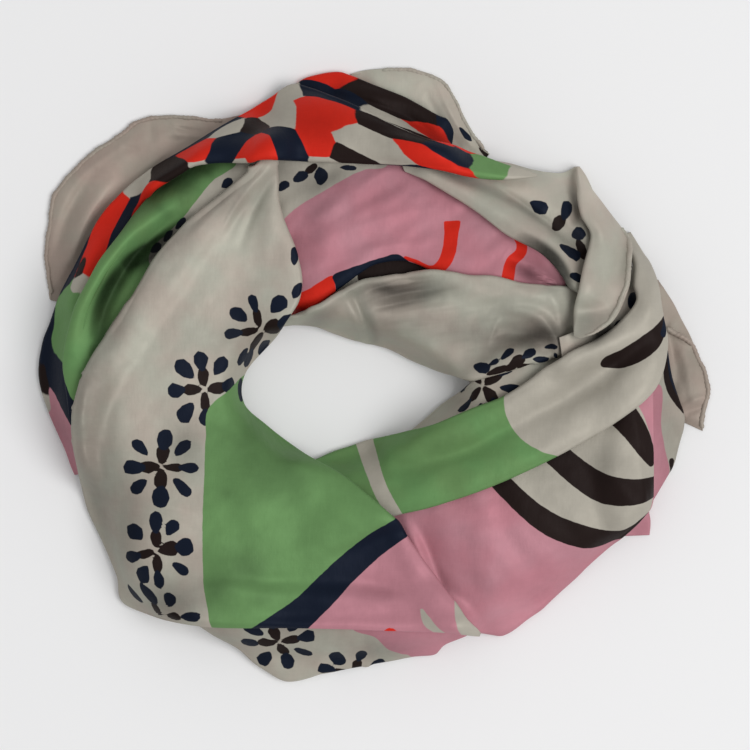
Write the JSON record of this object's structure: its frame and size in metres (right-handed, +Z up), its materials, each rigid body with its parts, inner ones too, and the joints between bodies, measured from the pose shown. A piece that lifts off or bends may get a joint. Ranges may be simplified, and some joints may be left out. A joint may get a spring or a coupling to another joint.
{
  "type": "silk square scarf",
  "caption": "Printed silk square scarf wound into a loose flat ring, with its corners lying free; worn at the neck or laid out for display.",
  "frame": {"origin": "on the table, under the middle of the wound scarf's bounding box", "axes": "+X along the ring's longest extent, +Y across it in the table's plane, +Z up, away from the table"},
  "size_m": [0.3386, 0.3115, 0.0451],
  "materials": {
    "beige_silk": "soft satin silk",
    "pink_silk": "soft satin silk",
    "green_silk": "soft satin silk",
    "mosaic_silk": "soft satin silk"
  },
  "bodies": {
    "root": {"hidden_folds": "beige_silk", "upper_left_corner": "beige_silk", "upper_left_hem": "beige_silk", "top_corner": "beige_silk", "top_hem": "beige_silk", "right_corner": "beige_silk", "right_hem": "beige_silk", "bottom_fold": "beige_silk", "hole_border": "beige_silk", "right_roll": "beige_silk", "pink_sweep": "pink_silk", "inner_border": "beige_silk", "top_border": "beige_silk", "striped_panel": "pink_silk", "under_border": "beige_silk", "green_strap": "green_silk", "knot_wrap": "beige_silk", "wrap_hem": "beige_silk", "mosaic_crown": "mosaic_silk", "mosaic_band": "mosaic_silk", "green_ridge": "green_silk", "front_panel": "beige_silk"}
  },
  "joints": []
}
